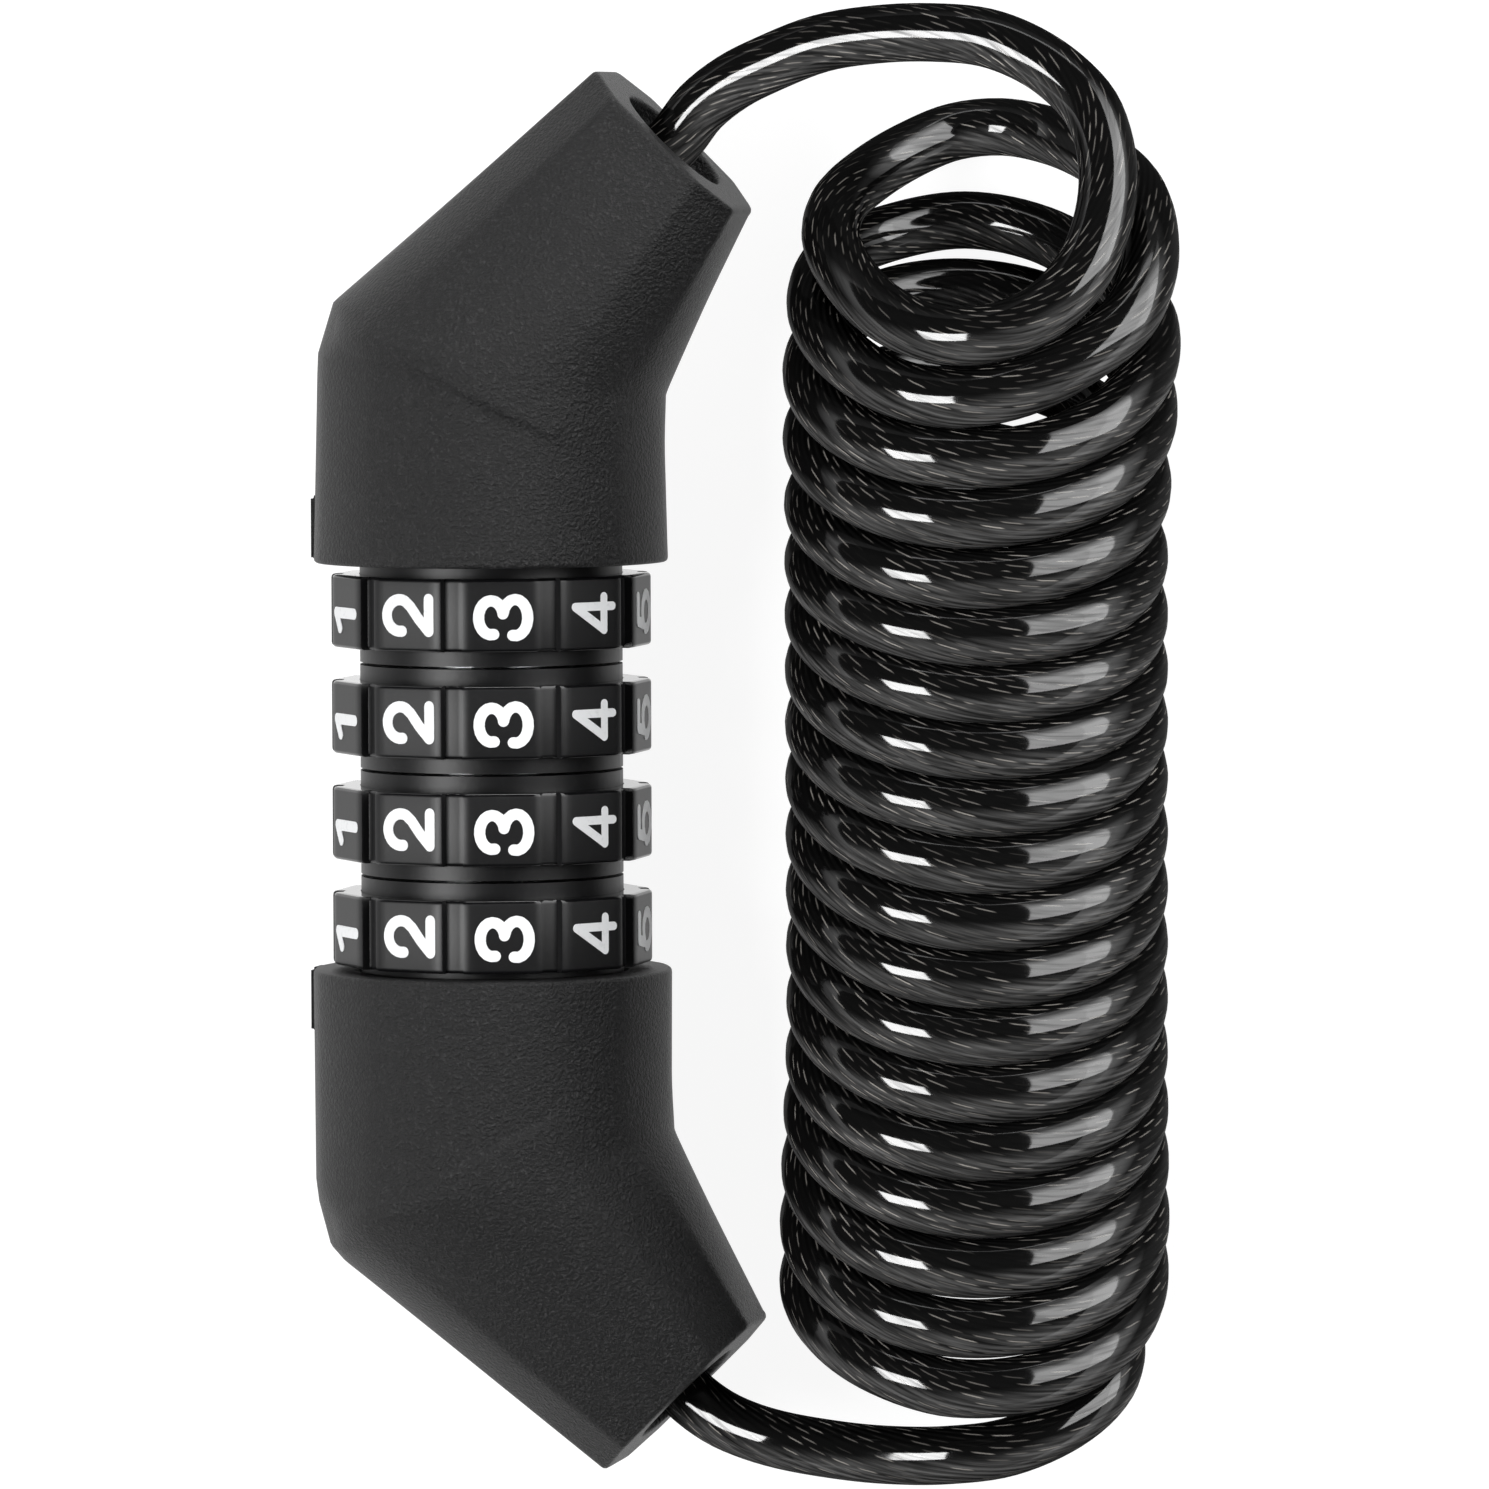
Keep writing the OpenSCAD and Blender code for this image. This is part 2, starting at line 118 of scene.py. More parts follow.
coil_points = []
for step in range(int(EVEN_TURNS * TURN_STEPS) + 1):
    turn = 2 + step / TURN_STEPS  # turns counted from the top, each from its right side over the front
    angle = 2 * math.pi * turn
    front = by_turn(turn + 0.75, (3, 21.8), (5, 13.7), (8, 2.3), (12, -13.1), (16, -28.6), (19, -40.8))
    lean = by_turn(turn, (2, 7.3), (3, 6.1), (4, 5.4), (5, 4.6), (9, 5.0), (15, 5.6), (18, 6.3),
                   (18.75, 4.5))
    skew = by_turn(turn, (2, -0.85), (3, -1.3), (4, -1.5), (5, -1.6), (6, -1.85))
    wide = by_turn(turn, (2, 11.6), (3, 11.5), (4.5, 11.1), (14, 11.05), (17, 11.35))
    middle_x = by_turn(turn, (2, 34.55), (4.5, 34.1), (14, 34.1), (18, 33.85))
    coil_points.append((middle_x + wide * math.cos(angle),
                        front + lean * (1 - math.sin(angle)) + skew * math.cos(angle),
                        COIL_MIDDLE_Z + COIL_DEEP * math.sin(angle)))
knots = np.array(LOWER_START + [lying(*p) for p in LOWER_LEAD] + coil_points[::-1]
                 + [lying(*p) for p in UPPER_LEAD[::-1]] + UPPER_START[::-1], float)
spans = np.linalg.norm(np.diff(knots, axis=0), axis=1) ** 0.5
at = np.concatenate([[0], np.cumsum(spans)])
slopes = np.gradient(knots, at, axis=0)
route = []
for i in range(len(knots) - 1):
    gap = at[i + 1] - at[i]
    count = max(1, round(float(np.linalg.norm(knots[i + 1] - knots[i])) / ROUTE_STEP))
    for k in range(count):
        t = k / count
        route.append((2 * t**3 - 3 * t**2 + 1) * knots[i] + (t**3 - 2 * t**2 + t) * gap * slopes[i]
                     + (3 * t**2 - 2 * t**3) * knots[i + 1] + (t**3 - t**2) * gap * slopes[i + 1])
route.append(knots[-1])
route = (np.array(route) + np.array(BARREL_AXIS)) / 1000

line = bpy.data.curves.new("cable_line", "CURVE")
line.dimensions = "3D"
spline = line.splines.new("POLY")
spline.points.add(len(route) - 1)
spline.points.foreach_set("co", np.column_stack([route, np.ones(len(route))]).ravel())
cable_line = bpy.data.objects.new("cable_line", line)
scene.collection.objects.link(cable_line)


def node_group(name, kind, inputs, outputs):
    """A node tree with named sockets, given as (name, type) or (name, type, value)."""
    tree = bpy.data.node_groups.new(name, kind)
    for way, sockets in (("INPUT", inputs), ("OUTPUT", outputs)):
        for given in sockets:
            socket = tree.interface.new_socket(given[0], in_out=way, socket_type=given[1])
            if len(given) > 2:
                socket.default_value = given[2]
    return tree, tree.nodes.new("NodeGroupInput"), tree.nodes.new("NodeGroupOutput")


def grown(carrier, tree, **values):
    """The plain mesh that a Geometry Nodes tree makes of an object, with its inputs set by name."""
    modifier = carrier.modifiers.new(tree.name, "NODES")
    modifier.node_group = tree
    for item in tree.interface.items_tree:
        if item.item_type == "SOCKET" and item.in_out == "INPUT" and item.name in values:
            modifier[item.identifier] = values[item.name]
    carrier.update_tag()
    bpy.context.view_layer.update()
    seen = carrier.evaluated_get(bpy.context.evaluated_depsgraph_get())
    mesh = bpy.data.meshes.new_from_object(seen, preserve_all_data_layers=True,
                                           depsgraph=bpy.context.evaluated_depsgraph_get())
    carrier.modifiers.remove(modifier)
    return mesh


# The rope's lay: its wires run nearly straight and the strands wind across them. Every wire shows as a row of
# short bright dashes, which are painted glints: bright colour standing for light caught on the wire crowns,
# each dash with its own random strength.
rope, rope_in, rope_out = node_group("rope_lay", "ShaderNodeTree", [
    ("Wire lay", "NodeSocketFloat", 46.0), ("Wires", "NodeSocketFloat", 28.0),
    ("Strand lay", "NodeSocketFloat", 15.4), ("Rows", "NodeSocketFloat", 12.0)],
    [("Painted glint", "NodeSocketFloat"), ("Streak", "NodeSocketFloat"), ("Height", "NodeSocketFloat")])


def maths(tree, what, a, b=None, c=None):
    """One Math node; a, b and c are sockets or numbers."""
    node = tree.nodes.new("ShaderNodeMath")
    node.operation = what
    for socket, given in zip(node.inputs, (a, b, c)):
        if given is None:
            continue
        if isinstance(given, (int, float)):
            socket.default_value = given
        else:
            tree.links.new(given, socket)
    return node.outputs[0]


def ranged(tree, given, first, last, at_first=0.0, at_last=1.0):
    """One Map Range node: at_first where given is first, at_last where it is last, even between them."""
    node = tree.nodes.new("ShaderNodeMapRange")
    for name, number in (("From Min", first), ("From Max", last), ("To Min", at_first), ("To Max", at_last)):
        node.inputs[name].default_value = number
    tree.links.new(given, node.inputs["Value"])
    return node.outputs["Result"]


def mixed(tree, share, first, second):
    """One colour mix from first, a colour or a socket, to the colour second."""
    node = tree.nodes.new("ShaderNodeMix")
    node.data_type = "RGBA"
    tree.links.new(share, node.inputs["Factor"])
    if isinstance(first, tuple):
        node.inputs["A"].default_value = (*first, 1)
    else:
        tree.links.new(first, node.inputs["A"])
    node.inputs["B"].default_value = (*second, 1)
    return node.outputs["Result"]


lay = rope.nodes.new("ShaderNodeAttribute")
lay.attribute_name = "lay"
parts = rope.nodes.new("ShaderNodeSeparateXYZ")
rope.links.new(lay.outputs["Vector"], parts.inputs[0])
round_it = maths(rope, "DIVIDE", maths(rope, "ARCTAN2", parts.outputs["Y"], parts.outputs["X"]), 2 * math.pi)
twist = maths(rope, "MULTIPLY", maths(rope, "SUBTRACT", round_it, maths(
    rope, "DIVIDE", parts.outputs["Z"], rope_in.outputs["Wire lay"])), rope_in.outputs["Wires"])
row = maths(rope, "MULTIPLY", maths(rope, "SUBTRACT", round_it, maths(
    rope, "DIVIDE", parts.outputs["Z"], rope_in.outputs["Strand lay"])), rope_in.outputs["Rows"])


def ridge_at(phase, narrow):
    """1 along the middle of each band of a phase, falling to 0 as steeply as narrow says."""
    off = maths(rope, "ABSOLUTE", maths(rope, "SUBTRACT", maths(rope, "FRACT", phase), 0.5))
    return maths(rope, "MAXIMUM", maths(rope, "SUBTRACT", 1.0, maths(rope, "MULTIPLY", off, narrow)), 0.0)


own_light = rope.nodes.new("ShaderNodeTexWhiteNoise")
own_light.noise_dimensions = "2D"
place = rope.nodes.new("ShaderNodeCombineXYZ")
rope.links.new(maths(rope, "FLOOR", twist), place.inputs["X"])
rope.links.new(maths(rope, "FLOOR", row), place.inputs["Y"])
rope.links.new(place.outputs[0], own_light.inputs["Vector"])
# Painted glints: bright where a wire's ridge crosses a strand's row, with a random strength for each dash.
painted_glint = maths(rope, "MULTIPLY", maths(rope, "MULTIPLY", ridge_at(twist, 6.5), maths(
    rope, "MINIMUM", maths(rope, "MULTIPLY", ridge_at(row, 2.7), 2.5), 1.0)),
             maths(rope, "POWER", own_light.outputs["Value"], 3.2))
streaks = rope.nodes.new("ShaderNodeTexNoise")
streaks.noise_dimensions = "2D"
streaks.inputs["Scale"].default_value = 1.0
drawn = rope.nodes.new("ShaderNodeCombineXYZ")
rope.links.new(maths(rope, "MULTIPLY", twist, 1.6), drawn.inputs["X"])
rope.links.new(maths(rope, "MULTIPLY", parts.outputs["Z"], 0.22), drawn.inputs["Y"])
rope.links.new(drawn.outputs[0], streaks.inputs["Vector"])
rope.links.new(painted_glint, rope_out.inputs["Painted glint"])
rope.links.new(streaks.outputs["Fac"], rope_out.inputs["Streak"])
rope.links.new(maths(rope, "SINE", maths(rope, "MULTIPLY", twist, 2 * math.pi)), rope_out.inputs["Height"])

# Painted light: the rope is coloured grey where its surface faces -Y, its lower side in the view, and black
# above, standing in for the light that the clear jacket gathers there.
jacket = bpy.data.materials.new("smoky jacket over steel rope")
jacket.use_nodes = True
tree = jacket.node_tree
nodes, links = tree.nodes, tree.links
skin = nodes["Principled BSDF"]
lay_of_rope = nodes.new("ShaderNodeGroup")
lay_of_rope.node_tree = rope
painted_glints, streaked = lay_of_rope.outputs["Painted glint"], lay_of_rope.outputs["Streak"]
facing = nodes.new("ShaderNodeNewGeometry")
normal_parts = nodes.new("ShaderNodeSeparateXYZ")
links.new(facing.outputs["Normal"], normal_parts.inputs[0])
along_barrel = normal_parts.outputs["Y"]
# Painted light mask: 0 where the normal points 0.12 or more towards +Y, 1 where it points 0.42 or more
# towards -Y.
painted_underside_light = ranged(tree, along_barrel, 0.12, -0.42)
painted_underside_light.node.interpolation_type = "SMOOTHSTEP"
# Painted underside tone: near black, lightened in streaks to grey by the painted light mask.
painted_underside_tone = mixed(tree, maths(tree, "MULTIPLY", painted_underside_light, maths(
    tree, "MULTIPLY", maths(tree, "POWER", streaked, 2.0), 2.0)),
    (0.0035, 0.0035, 0.0035), (0.115, 0.114, 0.113))
# The painted glints go into the base colour, brighter where the painted underside light lies.
tone = mixed(tree, maths(tree, "MULTIPLY", painted_glints, maths(tree, "MULTIPLY_ADD", painted_underside_light, 0.6, 0.4)),
             painted_underside_tone, (0.66, 0.62, 0.57))
links.new(tone, skin.inputs["Base Color"])
wires_stand = nodes.new("ShaderNodeBump")
wires_stand.inputs["Strength"].default_value = 0.4
wires_stand.inputs["Distance"].default_value = 0.0001
links.new(lay_of_rope.outputs["Height"], wires_stand.inputs["Height"])
links.new(wires_stand.outputs["Normal"], skin.inputs["Normal"])
skin.inputs["Roughness"].default_value = 0.5
skin.inputs["Specular IOR Level"].default_value = 0.0
# The outer gloss is uneven along the drawn jacket, weak edge-on and rubbed off where the turns touch.
edge_on = nodes.new("ShaderNodeLayerWeight")
edge_on.inputs["Blend"].default_value = 0.5
coat_kept = ranged(tree, edge_on.outputs["Facing"], 0.27, 0.36, 1.0, 0.10)
rubbed = ranged(tree, maths(tree, "ABSOLUTE", along_barrel), 0.42, 0.58, 1.0, 0.15)
uneven = maths(tree, "MINIMUM", maths(tree, "MULTIPLY_ADD", streaked, 1.6, 0.15), 1.0)
links.new(maths(tree, "MULTIPLY", coat_kept, maths(tree, "MULTIPLY", rubbed, uneven)),
          skin.inputs["Coat Weight"])
skin.inputs["Coat Roughness"].default_value = 0.075
skin.inputs["Coat IOR"].default_value = 1.65


def stored(tree, kind, name, geometry, value):
    """The geometry with a named value kept on each of its points."""
    node = tree.nodes.new("GeometryNodeStoreNamedAttribute")
    node.data_type, node.domain = kind, "POINT"
    node.inputs["Name"].default_value = name
    tree.links.new(geometry, node.inputs["Geometry"])
    tree.links.new(value, node.inputs["Value"])
    return node.outputs["Geometry"]


def recalled(tree, kind, name):
    """A named value that was kept on the points."""
    node = tree.nodes.new("GeometryNodeInputNamedAttribute")
    node.data_type = kind
    node.inputs["Name"].default_value = name
    return node.outputs["Attribute"]


sweep, sweep_in, sweep_out = node_group("jacketed_cable", "GeometryNodeTree", [
    ("Route", "NodeSocketGeometry"), ("Jacket radius", "NodeSocketFloat", 0.002),
    ("Sides", "NodeSocketInt", 24), ("Jacket", "NodeSocketMaterial")], [("Cable", "NodeSocketGeometry")])
gn, link = sweep.nodes.new, sweep.links.new
lengthwise = gn("GeometryNodeSplineParameter")
marked_route = stored(sweep, "FLOAT", "lengthwise", sweep_in.outputs["Route"], lengthwise.outputs["Length"])
section = gn("GeometryNodeCurvePrimitiveCircle")
link(sweep_in.outputs["Sides"], section.inputs["Resolution"])
link(sweep_in.outputs["Jacket radius"], section.inputs["Radius"])
where = gn("GeometryNodeInputPosition")
marked_section = stored(sweep, "FLOAT_VECTOR", "lay", section.outputs["Curve"], where.outputs["Position"])
tube = gn("GeometryNodeCurveToMesh")
tube.inputs["Fill Caps"].default_value = True
link(marked_route, tube.inputs["Curve"])
link(marked_section, tube.inputs["Profile Curve"])
split = gn("ShaderNodeSeparateXYZ")
link(recalled(sweep, "FLOAT_VECTOR", "lay"), split.inputs[0])
joined = gn("ShaderNodeCombineXYZ")
link(split.outputs["X"], joined.inputs["X"])
link(split.outputs["Y"], joined.inputs["Y"])
link(maths(sweep, "MULTIPLY", recalled(sweep, "FLOAT", "lengthwise"), 1000), joined.inputs["Z"])
soft = gn("GeometryNodeSetShadeSmooth")
link(stored(sweep, "FLOAT_VECTOR", "lay", tube.outputs["Mesh"], joined.outputs[0]), soft.inputs["Geometry"])
whole = gn("GeometryNodeRealizeInstances")
link(soft.outputs["Geometry"], whole.inputs["Geometry"])
dress = gn("GeometryNodeSetMaterial")
link(whole.outputs["Geometry"], dress.inputs["Geometry"])
link(sweep_in.outputs["Jacket"], dress.inputs["Material"])
link(dress.outputs["Geometry"], sweep_out.inputs["Cable"])
cable = bpy.data.objects.new("spiral_cable", grown(cable_line, sweep, **{
    "Jacket radius": CABLE_THICK / 2000, "Sides": 24, "Jacket": jacket}))
scene.collection.objects.link(cable)
bpy.data.objects.remove(cable_line)
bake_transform(cable)
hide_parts("cable_lower_lead", "cable_coil", "cable_upper_lead")

# --------------------------------------------------------------------------------------------------
# Housings
# Two elbows moulded in black plastic over zinc cores. A round barrel with twelve grip flats ends at a
# crease, and a tapered arm goes on to a rounded end face with the cable's opening. A small tab marks the
# reading line.
AROUND = 216


def housing(radius, draft, rim, side_y, knee, crease, middle_of_end, inner, mitre, end_wide, flip):
    """One elbow's mesh, in mm about the dial stack's middle, from the mouth's floor to the bore's floor."""
    end_thick, cut, flat_edge = 12.2, 2.9, 0.55
    facet_share, facet_soft = 0.28, 0.05  # how much of a full flat is cut, and how round its ridges are
    step_up, step_half = 0.12, 1.1  # the crease's step, and half the stretch of close rows across it
    mouth, bore = 4.2, 3.3
    lean = math.tan(math.radians(mitre))
    bend_y = inner[1] + radius * lean
    arm = Vector((math.sin(math.radians(45)), math.cos(math.radians(45)), 0))
    across = Vector((math.cos(math.radians(45)), -math.sin(math.radians(45)), 0))
    end = Vector((middle_of_end[0], middle_of_end[1], 0))
    angles = [2 * math.pi * (k + 0.5) / AROUND for k in range(AROUND)]
    rings = []

    def circle(r, y):
        rings.append([Vector((r * math.cos(a), y, r * math.sin(a))) for a in angles])

    def ridge_radius(y):
        return radius + draft * (21 - y) / 7

    def grip_radius(a, y):
        """Outer radius of the barrel: flats between softened ridges, drawn smaller towards the bend."""
        off = abs((math.degrees(a) % 30) - 15)
        ridge = ridge_radius(y)
        sharp = ridge - facet_share * ridge * (1 - math.cos(math.radians(15)) / math.cos(math.radians(off)))
        return ridge - 0.02 - facet_soft * math.log(1 + math.exp((ridge - 0.02 - sharp) / facet_soft))

    def crease_y(x):
        """Where the barrel's flats end, as a line that bends once."""
        (x0, y0), (x1, y1) = crease
        if x <= x1:
            return y0 + (x - x0) * (y1 - y0) / (x1 - x0)
        return y1 + (x - x1) * (inner[1] - y1) / (inner[0] - x1)

    def end_point(a, inset, depth):
        """Outline of the arm at its end face: a flat box whose corners are cut off, with soft edges."""
        c, s = abs(math.cos(a)), abs(math.sin(a))
        half_w, half_t = end_wide / 2 - inset, end_thick / 2 - inset
        ways = (half_w / max(1e-6, c), half_t / max(1e-6, s),
                (half_w + half_t - max(0.2, cut - inset)) / (c + s))
        reach = -0.12 * math.log(sum(math.exp(-way / 0.12) for way in ways))
        return end + across * reach * math.cos(a) + Vector((0, 0, reach * math.sin(a))) - arm * depth

    circle(0.05, 27.55)
    circle(8.2, 27.55)
    circle(8.52, 27.2)
    circle(8.52, 16.75)
    circle(9.3, 16.6)
    circle(9.4, 16.5)
    circle(9.4, rim + 0.25)
    circle(9.5, rim + 0.06)
    circle(9.7, rim)
    for inset, rise in ((0.32, 0.0), (0.16, 0.03), (0.06, 0.1), (0.015, 0.2), (0.0, 0.34)):
        rings.append([Vector(((grip_radius(a, rim) - inset) * math.cos(a), rim + rise,
                              (grip_radius(a, rim) - inset) * math.sin(a))) for a in angles])
    columns = []
    for a in angles:
        x_out = radius * math.cos(a)
        bend = bend_y - x_out * lean
        fold = min(crease_y(x_out), bend - 1.3)
        start = rim + 0.34
        ys = [start + (fold - step_half - start) * k / 10 for k in range(1, 11)]
        ys += [fold - step_half + 2 * step_half * k / 10 for k in range(1, 11)]
        ys += [fold + step_half + (bend - fold - step_half) * k / 5 for k in range(1, 6)]
        # The crease is sharp up to x = 6.6 mm and fades out over the next 1.6 mm.
        reach = 0.3 + 2.7 * min(1.0, max(0.0, (x_out - 6.6) / 1.6))
        column = []
        for y in ys:
            t = min(1.0, max(0.0, (y - fold + reach) / (2 * reach)))
            t = t * t * (3 - 2 * t)
            r = grip_radius(a, y) * (1 - t) + (ridge_radius(y) + step_up) * t
            column.append(Vector((r * math.cos(a), y, r * math.sin(a))))
        root, tip = column[-1].copy(), end_point(a, 0.0, flat_edge)
        for k in range(1, 49):
            column.append(root.lerp(tip, k / 48))
        for repeat in range(14):  # rounds the bend between barrel and arm
            kept = [p.copy() for p in column]
            for k in range(21, 34):
                column[k] = kept[k] * 0.5 + (kept[k - 1] + kept[k + 1]) * 0.25
        for p in column:  # cuts the outer side off in two slants where the barrel turns into the arm
            if p.x < 0 and p.y > side_y - 0.5:
                for (ax, ay), (bx, by) in (((-ridge_radius(side_y) - 0.02, side_y), knee),
                                           (knee, (knee[0] + 1.2, knee[1] + 1.4))):
                    if ay <= p.y <= by:
                        limit = -(ax + (p.y - ay) * (bx - ax) / (by - ay))
                        wide = math.hypot(p.x, p.z)
                        fade = (58 - math.degrees(math.atan2(abs(p.z), -p.x))) / 26
                        keep = 1 - max(0.0, wide - limit) * min(1.0, max(0.0, fade)) / wide
                        p.x, p.z = p.x * keep, p.z * keep
        columns.append(column)
    for k in range(len(columns[0])):
        rings.append([column[k] for column in columns])
    for inset, depth in ((0.02, 0.35), (0.08, 0.2), (0.2, 0.07), (0.38, 0.01), (0.6, 0.0)):
        rings.append([end_point(a, inset, depth) for a in angles])
    for share in (0.4, 0.8):
        rings.append([end_point(a, 0.6, 0.0).lerp(end + (across * math.cos(a) + Vector((0, 0, math.sin(a))))
                                                  * (mouth + 0.2), share) for a in angles])
    for r, depth in ((mouth + 0.2, 0.0), (mouth + 0.08, 0.04), (mouth, 0.15), (mouth, 0.4), (mouth, 1.4),
                     (mouth - 0.1, 1.5), (bore + 0.15, 1.5), (bore, 1.65), (bore, 2.0), (bore, 8.1),
                     (bore - 0.3, 8.2), (0.05, 8.2)):
        rings.append([end + (across * math.cos(a) + Vector((0, 0, math.sin(a)))) * r - arm * depth
                      for a in angles])
    made = bmesh.new()
    grid = [[made.verts.new(p) for p in ring] for ring in rings]
    for lower, upper in zip(grid, grid[1:]):
        for k in range(AROUND):
            made.faces.new((lower[k], upper[k], upper[(k + 1) % AROUND], lower[(k + 1) % AROUND]))
    made.faces.new(grid[0])
    made.faces.new(grid[-1][::-1])
    tab = bmesh.ops.create_cube(made, size=1)["verts"]
    bmesh.ops.scale(made, vec=(1.0, 4.5, 2.3), verts=tab)
    bmesh.ops.translate(made, vec=(-ridge_radius(rim) + 0.27, rim + 2.3, 0), verts=tab)
    edges = list({e for v in tab for e in v.link_edges})
    bmesh.ops.bevel(made, geom=edges, offset=0.22, segments=3, affect="EDGES")
    if flip:
        for v in made.verts:
            v.co.y = -v.co.y
    bmesh.ops.recalc_face_normals(made, faces=made.faces)
    for v in made.verts:
        v.co = (v.co + BARREL_AXIS) / 1000
    for f in made.faces:
        f.smooth = True
    return made


# Spark-eroded moulding grain: a fine pebble in the plastic that scatters small lights.
grain, grain_in, grain_out = node_group("moulding_grain", "ShaderNodeTree", [
    ("Grain size", "NodeSocketFloat", 0.00022), ("Depth", "NodeSocketFloat", 0.00002)],
    [("Speckle", "NodeSocketFloat"), ("Cloud", "NodeSocketFloat"), ("Normal", "NodeSocketVector")])
spot = grain.nodes.new("ShaderNodeTexCoord")
pebble = grain.nodes.new("ShaderNodeTexNoise")
pebble.inputs["Detail"].default_value = 3.0
pebble.inputs["Roughness"].default_value = 0.6
grain.links.new(spot.outputs["Object"], pebble.inputs["Vector"])
grain.links.new(maths(grain, "DIVIDE", 1.0, grain_in.outputs["Grain size"]), pebble.inputs["Scale"])
cloud = grain.nodes.new("ShaderNodeTexNoise")
cloud.inputs["Scale"].default_value = 160.0
cloud.inputs["Detail"].default_value = 2.0
grain.links.new(spot.outputs["Object"], cloud.inputs["Vector"])
relief = grain.nodes.new("ShaderNodeBump")
relief.inputs["Strength"].default_value = 1.0
grain.links.new(grain_in.outputs["Depth"], relief.inputs["Distance"])
grain.links.new(pebble.outputs["Fac"], relief.inputs["Height"])
grain.links.new(ranged(grain, pebble.outputs["Fac"], 0.55, 0.8), grain_out.inputs["Speckle"])
grain.links.new(cloud.outputs["Fac"], grain_out.inputs["Cloud"])
grain.links.new(relief.outputs["Normal"], grain_out.inputs["Normal"])


def moulded(name, dark, light, roughness, grain_size, depth, gloss):
    """Black moulded plastic of one finish: dark ground, lighter specks and its own grain."""
    made = bpy.data.materials.new(name)
    made.use_nodes = True
    tree = made.node_tree
    face = tree.nodes["Principled BSDF"]
    spots = tree.nodes.new("ShaderNodeGroup")
    spots.node_tree = grain
    spots.inputs["Grain size"].default_value = grain_size
    spots.inputs["Depth"].default_value = depth
    amount = maths(tree, "MULTIPLY", spots.outputs["Speckle"],
                   maths(tree, "ADD", maths(tree, "MULTIPLY", spots.outputs["Cloud"], 0.8), 0.4))
    tree.links.new(mixed(tree, amount, dark, light), face.inputs["Base Color"])
    tree.links.new(spots.outputs["Normal"], face.inputs["Normal"])
    face.inputs["Roughness"].default_value = roughness
    face.inputs["Specular IOR Level"].default_value = gloss
    return made


housing_plastic = moulded("grained black housing plastic", dark=(0.0035, 0.0035, 0.0038),
                          light=(0.050, 0.050, 0.051), roughness=0.48, grain_size=0.00024, depth=0.000200,
                          gloss=0.33)
for name, body, node, made in (
        ("plug_elbow", "plug", "plug_housing", housing(
            radius=12.15, draft=0.17, rim=14.2, side_y=28.0, knee=(-10.75, 32.1),
            crease=((-5.5, 29.4), (7.1, 22.8)), middle_of_end=(13.1, 43.15), inner=(12.1, 25.7),
            mitre=12.5, end_wide=13.8, flip=False)),
        ("lock_elbow", "lock_body", "lock_housing", housing(
            radius=12.45, draft=0.04, rim=13.85, side_y=28.6, knee=(-11.3, 32.9),
            crease=((-6.3, 30.0), (6.8, 23.2)), middle_of_end=(13.6, 43.1), inner=(12.4, 25.1),
            mitre=16.4, end_wide=14.6, flip=True))):
    mesh = bpy.data.meshes.new(name)
    made.to_mesh(mesh)
    made.free()
    mesh.materials.append(housing_plastic)
    elbow = bpy.data.objects.new(name, mesh)
    scene.collection.objects.link(elbow)
    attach(elbow, body)
    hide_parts(node)

# --------------------------------------------------------------------------------------------------
# Number rings
# Ten raised panels on a band, moulded in smooth black plastic, one ring for each digit of the code.
# A panel is flat with softened edges, and a groove with steep walls parts it from the next.
RING_HIGH, PITCH = 5.0, 7.3  # mm; the pitch is from one ring to the next
dial_plastic = moulded("smooth black dial plastic", dark=(0.004, 0.004, 0.0045),
                       light=(0.009, 0.009, 0.0095), roughness=0.44, grain_size=0.0005, depth=0.000006,
                       gloss=0.42)
# The rings' upper and lower edges are burnished, so they draw a thin bright line.
tree = dial_plastic.node_tree
facing = tree.nodes.new("ShaderNodeNewGeometry")
faces_end = tree.nodes.new("ShaderNodeSeparateXYZ")
tree.links.new(facing.outputs["Normal"], faces_end.inputs[0])
burnished = ranged(tree, maths(tree, "ABSOLUTE", faces_end.outputs["Y"]), 0.25, 0.5)
tree.links.new(maths(tree, "MULTIPLY_ADD", burnished, -0.34, 0.44),
               tree.nodes["Principled BSDF"].inputs["Roughness"])
sector = bmesh.new()
half = math.radians(18)  # half of one tenth of a turn
floor_r, flat, bore = 10.4, 10.76, 9.1  # distances from the axis: groove's floor, panel's face, inside
profile = []  # (angle, radius) over one tenth of the ring, from groove middle to groove middle
edge = half - 0.65 / 10.7
for k in range(3):
    profile.append((-half + (half - edge - 0.004) * k / 2, floor_r))
for k in range(4):
    profile.append((-edge + 0.006 * k / 3, floor_r + 0.02 + (flat / math.cos(edge) - 0.16 - floor_r) * k / 3))
for k in range(13):
    a = -edge + 0.014 + (2 * edge - 0.028) * k / 12
    profile.append((a, min(flat / math.cos(a), 11.05) - (0.05 if k in (0, 12) else 0)))
profile += [(-a, r) for a, r in profile[6::-1]]
